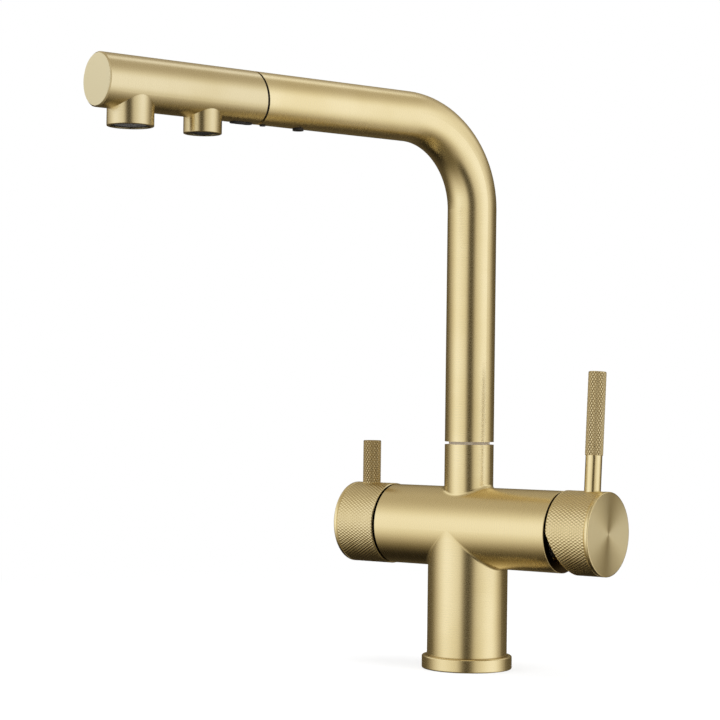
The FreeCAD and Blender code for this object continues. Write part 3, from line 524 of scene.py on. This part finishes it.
knobs = {
    "mixer": {"node": "mixer_knob", "body": "mixer_handle", "side": 1.0, "inner": 69.45 * mm,
              "outer": 97.75 * mm, "wedge": 21.0, "turn": mixerTurn},
    "filter": {"node": "filter_knob", "body": "filter_handle", "side": -1.0, "inner": 54.95 * mm,
               "outer": 84.45 * mm, "wedge": 0.0, "turn": None},
    "slot": "turned_brass",
    "cavity": 10.5 * mm,
    "boss": 4.5 * mm,
    "socket": 4.1 * mm,
    "radius": 25.0 * mm,
    "bore": 20.5 * mm,
    "bossRadius": 9.0 * mm,
    "smoothRim": 2.5 * mm,
    "innerRim": 0.5 * mm,
    "starts": 82,
    "flat": 0.2,
    "round": 0.6 * mm,
    "faceRadius": 24.3 * mm,
}


def knobMesh(name, values):
    side, radius = values["side"], knobs["radius"]
    columns = knobs["starts"] * knurl["toothSteps"]
    inner, outer = values["inner"], values["outer"]
    bandStart, bandEnd = inner + knobs["innerRim"], outer - knobs["smoothRim"]
    floor, boss, socket = inner + knobs["cavity"], inner + knobs["boss"], knobs["socket"]
    bossRadius, bore = knobs["bossRadius"], knobs["bore"]
    profile = [(socket, floor + 6 * mm), (socket, boss), (bossRadius, boss), (bossRadius, floor),
               (bore, floor), (bore, inner + 0.2 * mm), (bore + 0.2 * mm, inner), (radius - 0.3 * mm, inner)]
    rows = max(2, round((bandEnd - bandStart) / knurl["rowStep"]))
    band = [bandStart + (bandEnd - bandStart) * row / rows for row in range(rows + 1)]
    tail = [(radius - 0.3 * mm, bandEnd + 0.1 * mm), (radius - 0.3 * mm, bandEnd + 0.22 * mm),
            (radius - 0.04 * mm, bandEnd + 0.4 * mm), (radius, bandEnd + 0.5 * mm)]
    for step in range(6):
        lean = math.radians(18 * step)
        tail.append((radius - knobs["round"] * (1 - math.cos(lean)),
                     outer - knobs["round"] * (1 - math.sin(lean))))
    tail += [(knobs["faceRadius"], outer), (knobs["faceRadius"] - 0.1 * mm, outer - 0.2 * mm)]
    points, groove, recess = [], [], []
    slope = math.tan(math.radians(values["wedge"]))

    def addRing(distances, alongs, depths, inside=0.0):
        for column in range(columns):
            angle = 2 * math.pi * column / columns
            across, up = math.cos(angle) * distances[column], math.sin(angle) * distances[column]
            least = inner + max(0.0, -up) * slope  # the wedge that is cut from the lower inner edge
            points.append((side * max(alongs[column], least), across, barrelAxis.z + up))
            # the knurl depth also sets where painted shade darkens the grooves
            groove.append(depths[column])
            recess.append(inside)

    for distance, along in profile:
        # the hollow inside the knob gets painted shade
        inside = float(distance < radius - 2 * mm)
        addRing([distance] * columns, [along] * columns, [0.0] * columns, inside)
    for along in band:
        edge = min(along - bandStart, bandEnd - along)
        fade = min(1.0, edge / knurl["fade"])
        depths = [fade * knurlDepth(along, column / columns, knurl["pitchRun"], knobs["starts"],
                                    knobs["flat"]) for column in range(columns)]
        addRing([radius - knurl["depth"] * depth for depth in depths], [along] * columns, depths)
    for distance, along in tail:
        addRing([distance] * columns, [along] * columns, [0.0] * columns)
    faces = ringFaces(len(profile) + len(band) + len(tail), columns)
    if side > 0:
        faces = [face[::-1] for face in faces]
    piece = meshPiece(name, points, faces, finishes["knob"], {"groove": groove, "recess": recess},
                      values["turn"])
    sharpen(piece, 32)
    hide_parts(values["node"])
    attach(piece, values["body"])
    return piece


def faceMesh(name, values):
    # a spun disc, very slightly dished, that closes the knob; its own Z is the knob's axis
    rings, columns = 12, 96
    points = [(0.0, 0.0, -0.05 * mm)]
    for ring in range(1, rings + 1):
        distance = knobs["faceRadius"] * ring / rings
        level = -0.05 * mm * (1 - (ring / rings) ** 2)
        for column in range(columns):
            angle = 2 * math.pi * column / columns
            points.append((math.cos(angle) * distance, math.sin(angle) * distance, level))
    for column in range(columns):
        angle = 2 * math.pi * column / columns
        points.append((math.cos(angle) * knobs["faceRadius"], math.sin(angle) * knobs["faceRadius"],
                       -0.2 * mm))
    faces = [(0, 1 + column, 1 + (column + 1) % columns) for column in range(columns)]
    faces += [tuple(1 + corner for corner in face[::-1]) for face in ringFaces(rings + 1, columns)]
    piece = meshPiece(name, points, faces, finishes["knobFace"])
    sharpen(piece, 32)
    outward = Matrix.Rotation(math.radians(90 * values["side"]), 4, "Y")
    place = Matrix.Translation(barrelAxis + Vector((values["side"] * values["outer"], 0, 0))) @ outward
    piece.matrix_world = values["turn"] @ place if values["turn"] else place
    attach(piece, values["body"])
    return piece


for key in ("mixer", "filter"):
    knobMesh(key + "KnurledKnob", knobs[key])
    faceMesh(key + "KnobFace", knobs[key])
print("knobs")

levers = {
    "mixer": {"node": "mixer_lever", "body": "mixer_handle", "reach": 85.8 * mm, "stem": 4.95 * mm,
              "plain": 21.0 * mm, "grip": 5.35 * mm, "height": 70.6 * mm, "starts": 18,
              "shade": 0.42, "turn": mixerTurn},
    "filter": {"node": "filter_lever", "body": "filter_handle", "reach": -73.2 * mm, "stem": 5.6 * mm,
               "plain": 0.0, "grip": 5.6 * mm, "height": 26.5 * mm, "starts": 19,
               "shade": 0.9, "turn": None},
    "sunk": 3.0 * mm,
    "chamfer": 0.45 * mm,
    "flat": 0.6,
    "toothSteps": 12,
    "pitchRun": 2.85 * mm,
    "depth": 0.32 * mm,
    "rowStep": 0.2 * mm,
}


def leverMesh(name, values):
    foot = barrelAxis.z + knobs["radius"]
    columns = values["starts"] * levers["toothSteps"]
    grip, tip = values["grip"], foot + values["height"]
    gripFoot = foot + values["plain"]
    points, groove, shade = [], [], []

    def addRing(distances, level, depths):
        for column in range(columns):
            angle = 2 * math.pi * column / columns
            points.append((values["reach"] + math.cos(angle) * distances[column],
                           math.sin(angle) * distances[column], level))
            # the knurl depth also sets where painted shade darkens the grooves
            groove.append(depths[column])
            # the grip's share of painted shade
            shade.append(values["shade"] * float(level >= gripFoot))

    plain = [0.0] * columns
    rows = 0
    if values["plain"]:
        for level in (foot - levers["sunk"], foot, foot + 6 * mm, gripFoot - 6 * mm, gripFoot - 0.02 * mm):
            addRing([values["stem"]] * columns, level, plain)
            rows += 1
        start = gripFoot
        addRing([grip - 0.3 * mm] * columns, start, plain)
    else:
        start = foot - levers["sunk"]
        addRing([grip - levers["depth"]] * columns, start, plain)
    rows += 1
    bandStart, bandEnd = start + 0.25 * mm, tip - levers["chamfer"]
    steps = round((bandEnd - bandStart) / levers["rowStep"])
    for step in range(steps + 1):
        level = bandStart + (bandEnd - bandStart) * step / steps
        fade = min(1.0, (bandEnd - level) / knurl["fade"] + 0.15)
        depths = [fade * knurlDepth(level, column / columns, levers["pitchRun"], values["starts"],
                                    levers["flat"]) for column in range(columns)]
        addRing([grip - levers["depth"] * depth for depth in depths], level, depths)
        rows += 1
    for distance, level in ((grip - levers["chamfer"], tip), (grip * 0.6, tip), (grip * 0.2, tip)):
        addRing([distance] * columns, level, plain)
        rows += 1
    faces = ringFaces(rows, columns)
    last = len(points) - columns
    faces.append(tuple(range(last, last + columns)))
    piece = meshPiece(name, points, faces, finishes["lever"], {"groove": groove, "shade": shade},
                      values["turn"])
    sharpen(piece, 32)
    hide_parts(values["node"])
    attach(piece, values["body"])
    return piece


for key in ("mixer", "filter"):
    leverMesh(key + "KnurledLever", levers[key])
print("levers")

hose = {
    "radius": 6.5 * mm,
    "columns": 36,
    "steps": 110,
    # height and reach along the arm of the points that its line follows, from the foot to the head's nut
    "route": ((0.0, 0.0), (104.0, 0.0), (209.2, 0.0), (333.2, 0.0), (333.2, 124.0), (333.2, 129.0)),
    "pullStart": 62.0 * mm,
    "pull": 450.0 * mm,
}


def splineLine(name, route, steps):
    # points along the smooth spline through a route
    curve = bpy.data.curves.new(name, "CURVE")
    curve.dimensions, curve.resolution_u = "3D", steps
    spline = curve.splines.new("NURBS")
    spline.points.add(len(route) - 1)
    for point, place in zip(spline.points, route):
        point.co = (*place, 1.0)
    spline.order_u, spline.use_endpoint_u = 3, True
    holder = bpy.data.objects.new(name, curve)
    mesh = bpy.data.meshes.new_from_object(holder)
    line = [vertex.co.copy() for vertex in mesh.vertices]
    bpy.data.objects.remove(holder)
    bpy.data.curves.remove(curve)
    bpy.data.meshes.remove(mesh)
    return line


def hoseMesh():
    # one woven tube up the riser, round the bend and out to the head
    route = [Vector((0, -reach, level)) * mm for level, reach in hose["route"]]
    line = splineLine("hoseRoute", route, hose["steps"])
    if line[0].z > line[-1].z:
        line.reverse()
    end = -line[-1].y
    points, along, around = [], [], []
    sideways, run = Vector((1, 0, 0)), 0.0
    for step, middle in enumerate(line):
        before, after = line[max(0, step - 1)], line[min(len(line) - 1, step + 1)]
        run += (middle - before).length
        lift = (after - before).normalized().cross(sideways)
        drawn = 0.0
        if middle.z > armHeight - 1 * mm:
            drawn = smooth((-middle.y - hose["pullStart"]) / (end - hose["pullStart"]))
        for column in range(hose["columns"] + 1):
            angle = 2 * math.pi * column / hose["columns"]
            points.append(middle + (sideways * math.cos(angle) + lift * math.sin(angle)) * hose["radius"])
            along.append(run + drawn * hose["pull"])
            around.append(column / hose["columns"])
    faces = ringFaces(len(line), hose["columns"] + 1, False)
    piece = meshPiece("wovenHose", points, faces, finishes["hose"], {"along": along, "around": around},
                      spoutTurn)
    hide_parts("pull_out_hose")
    lift = Vector((0, 0, armHeight))
    tuple(armWay * hose["pullStart"] + lift)
    tuple(armWay * end + lift)
    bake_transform(piece)
    return piece


hoseMesh()
print("hose")

grille = {"reach": 243.4 * mm, "bottom": 311.05 * mm, "radius": 9.4 * mm, "rings": 5, "spokes": 24,
          "bar": 0.42 * mm, "depth": 0.5 * mm}


def grilleMesh():
    # rings and spokes over the aerator's face, each a small bar with a rounded lower side
    points, faces = [], []

    def addBar(path, closed):
        first = len(points)
        half = grille["bar"] / 2
        for position, sideways in path:
            for across, drop in ((-half, 0.0), (-half * 0.7, grille["depth"] * 0.8), (0.0, grille["depth"]),
                                 (half * 0.7, grille["depth"] * 0.8), (half, 0.0)):
                points.append(position + sideways * across - Vector((0, 0, drop)))
        count = len(path)
        for step in range(count if closed else count - 1):
            here, there = first + step * 5, first + (step + 1) % count * 5
            for lane in range(4):
                faces.append((here + lane, here + lane + 1, there + lane + 1, there + lane))

    middle = Vector((0, -grille["reach"], grille["bottom"]))
    for ring in range(1, grille["rings"] + 1):
        radius = grille["radius"] * ring / grille["rings"] - grille["bar"]
        path = []
        for step in range(64):
            angle = 2 * math.pi * step / 64
            outward = Vector((math.cos(angle), math.sin(angle), 0))
            path.append((middle + outward * radius, outward))
        addBar(path, True)
    for spoke in range(grille["spokes"]):
        angle = 2 * math.pi * spoke / grille["spokes"]
        outward = Vector((math.cos(angle), math.sin(angle), 0))
        sideways = Vector((-outward.y, outward.x, 0))
        start = 0.2 if spoke % 2 == 0 else 0.6
        shares = (start, 0.7, 0.97)
        addBar([(middle + outward * grille["radius"] * share, sideways) for share in shares], False)
    piece = meshPiece("outletGrille", points, faces, finishes["greyPlastic"], None, spoutTurn)
    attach(piece, "spray_head")
    return piece


grilleMesh()
print("outlet grille")


camera = {"place": (0.689548, -1.058214, 0.161451), "yaw": 36.158, "pitch": 1.176, "roll": 0.754,
          "lens": 102.83}


def makeCamera():
    yaw, pitch, roll = (math.radians(camera[key]) for key in ("yaw", "pitch", "roll"))
    forward = Vector((-math.sin(yaw) * math.cos(pitch), math.cos(yaw) * math.cos(pitch), math.sin(pitch)))
    level = Vector((math.cos(yaw), math.sin(yaw), 0))
    upward = level.cross(forward)
    right = level * math.cos(roll) + upward * math.sin(roll)
    top = -level * math.sin(roll) + upward * math.cos(roll)
    lens = bpy.data.cameras.new("photoLens")
    lens.lens, lens.sensor_width, lens.clip_start, lens.clip_end = camera["lens"], 36.0, 0.01, 60.0
    eye = bpy.data.objects.new("photoCamera", lens)
    bpy.context.scene.collection.objects.link(eye)
    turn = Matrix((right, top, -forward)).transposed().to_4x4()
    eye.matrix_world = Matrix.Translation(Vector(camera["place"])) @ turn
    bpy.context.scene.camera = eye


makeCamera()

studio = {
    "middle": Vector((-0.02, -0.09, 0.18)),
    "front": math.radians(-53.8),  # compass angle from the tap to the camera
    "distance": 5.0,
    "shade": 0.5,
    "lamps": {
        "leftBox": {"turn": -62, "lift": 24, "distance": 1.9, "size": 1.5, "power": 26},
        "rightBox": {"turn": 62, "lift": 24, "distance": 1.9, "size": 1.5, "power": 26},
        "topBox": {"turn": 0, "lift": 86, "distance": 1.8, "size": 1.8, "power": 30},
    },
    # light that the metal reflects, from none to full white
    "tones": [(0.0, rgb(0.0, 0.0, 0.0)), (0.08, rgb(0.08, 0.062, 0.036)), (0.16, rgb(0.16, 0.13, 0.073)),
              (0.28, rgb(0.28, 0.235, 0.16)), (0.5, rgb(0.5, 0.445, 0.345)), (0.72, rgb(0.72, 0.675, 0.575)),
              (0.86, rgb(0.86, 0.835, 0.75)), (1.0, rgb(1.0, 1.0, 1.0))],
}


def studioPoint(turn, lift, distance):
    angle = studio["front"] + math.radians(turn)
    rise = math.radians(lift)
    way = Vector((math.cos(angle) * math.cos(rise), math.sin(angle) * math.cos(rise), math.sin(rise)))
    return studio["middle"] + way * distance


def seenWhite(bench):
    # where the camera or a reflection looks, the studio is white
    path = bench.node("ShaderNodeLightPath")
    seen = path.other("Is Camera Ray") + path.other("Is Glossy Ray") + path.other("Is Transmission Ray")
    return seen.low(1.0)


def makeWorld():
    world = bpy.data.worlds.new("studioWorld")
    bpy.context.scene.world = world
    world.use_nodes = True
    bench = Bench(world.node_tree)
    white = seenWhite(bench)
    light = bench.node("ShaderNodeBackground", None,
                       {"Color": rgb(1.0, 1.0, 1.0), "Strength": white + (1.0 - white) * studio["shade"]})
    bench.node("ShaderNodeOutputWorld", None, {"Surface": light})


def makeLamps():
    for name, values in studio["lamps"].items():
        lamp = bpy.data.lights.new(name, "AREA")
        lamp.shape, lamp.size, lamp.energy = "SQUARE", values["size"], values["power"]
        box = bpy.data.objects.new(name, lamp)
        bpy.context.scene.collection.objects.link(box)
        place = studioPoint(values["turn"], values["lift"], values["distance"])
        aim = (studio["middle"] - place).to_track_quat("-Z", "Y")
        box.matrix_world = Matrix.Translation(place) @ aim.to_matrix().to_4x4()
        box.visible_glossy = False


def studioLight(turn, lift):
    # what a mirror sees from the tap: two bright walls, a dark gap behind the camera, dark sides and floor
    onRight = turn > -2.5
    right = smooth((turn + 20) / 40)
    away = abs(turn + 2.5)
    soft = 0.34 if onRight else 0.2
    gap = (1 - soft) * (1 - smooth((away - 7) / 18)) + soft * (1 - smooth((away - 16) / 52))
    gap *= smooth((lift + 56) / 18) * (1 - smooth((lift - 28) / 16))
    if onRight:
        sides = smooth((turn - 71 - 40 * smooth((-lift - 20) / 30)) / 52)
    else:
        sides = smooth((-turn - 68) / 62)
    back = smooth((away - 120) / 35)
    fadeStart = 6 if onRight else 8 * back - 2
    sides *= 1 - smooth((lift - fadeStart) / (24 + 36 * back))
    above = smooth((lift - 13) / 42)
    below = smooth((-lift - 2 - 16 * right) / (60 - 10 * right))
    light = (1 - 0.96 * gap) * (1 - 0.9 * sides) * (1 - 0.53 * above) * (1 - 0.87 * below)
    # a bright patch high behind the tap draws the pale line along the top of the arm and the head
    patch = 1 - smooth((abs(turn - 150) - 8) / 22)
    patch *= smooth((lift - 40) / 12) * (1 - smooth((lift - 62) / 16))
    return max(light, patch)


def makeDome():
    # only the metal sees it: what lies round the tap out of the picture
    columns, rows = 121, 91
    points, light = [], []
    for row in range(rows):
        lift = -90 + 180 * row / (rows - 1)
        for column in range(columns):
            turn = -180 + 360 * column / (columns - 1)
            points.append(studioPoint(turn, lift, studio["distance"]))
            light.append(studioLight(turn, lift))
    material, bench = newMaterial("studioWalls")
    tone = bench.node("ShaderNodeValToRGB", {"stops": studio["tones"]}, {"Fac": bench.stored("light")})
    shader = bench.node("ShaderNodeBsdfPrincipled", None,
                        {"Base Color": rgb(0.0, 0.0, 0.0), "Specular IOR Level": 0.0, "Emission Color": tone,
                         "Emission Strength": 1.0})
    bench.node("ShaderNodeOutputMaterial", None, {"Surface": shader})
    dome = meshPiece("studioWalls", points, ringFaces(rows, columns, False), material, {"light": light})
    dome.visible_camera = dome.visible_diffuse = dome.visible_shadow = dome.visible_transmission = False
    dome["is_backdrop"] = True


def makeFloor():
    # a wide disc that keeps the tap's soft shadow near the foot and is white further out
    points, faces = [(0.0, 0.0, 0.0)], []
    rings, columns = (0.05, 0.12, 0.25, 0.5, 1.0, 2.5, 6.0, 14.0), 72
    for radius in rings:
        for column in range(columns):
            angle = 2 * math.pi * column / columns
            points.append((radius * math.cos(angle), radius * math.sin(angle), 0.0))
    for column in range(columns):
        faces.append((0, 1 + column, 1 + (column + 1) % columns))
    for ring in range(len(rings) - 1):
        base = 1 + ring * columns
        for column in range(columns):
            following = (column + 1) % columns
            faces.append((base + column, base + columns + column, base + columns + following,
                          base + following))
    material, bench = newMaterial("paleFloor")
    _, x, y, _ = bench.place()
    away = (x * x + y * y).root().rise(0.1, 0.7)
    white = bench.node("ShaderNodeEmission", None, {"Color": rgb(1.0, 1.0, 1.0), "Strength": 1.0})
    pale = bench.node("ShaderNodeBsdfDiffuse", None, {"Color": rgb(0.9, 0.9, 0.9)})
    share = seenWhite(bench) * (0.72 + away * 0.28)
    mixed = bench.node("ShaderNodeMixShader", None, {0: share, 1: pale, 2: white})
    bench.node("ShaderNodeOutputMaterial", None, {"Surface": mixed})
    floor = meshPiece("paleFloor", points, faces, material, rounded=False)
    floor.location.z = min(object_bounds()[0].z, 0.0) - 0.0002
    floor.visible_glossy = False
    floor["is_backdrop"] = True


makeWorld()
makeLamps()
makeDome()
makeFloor()
print("studio")

scene = bpy.context.scene
scene.view_settings.view_transform = "Standard"
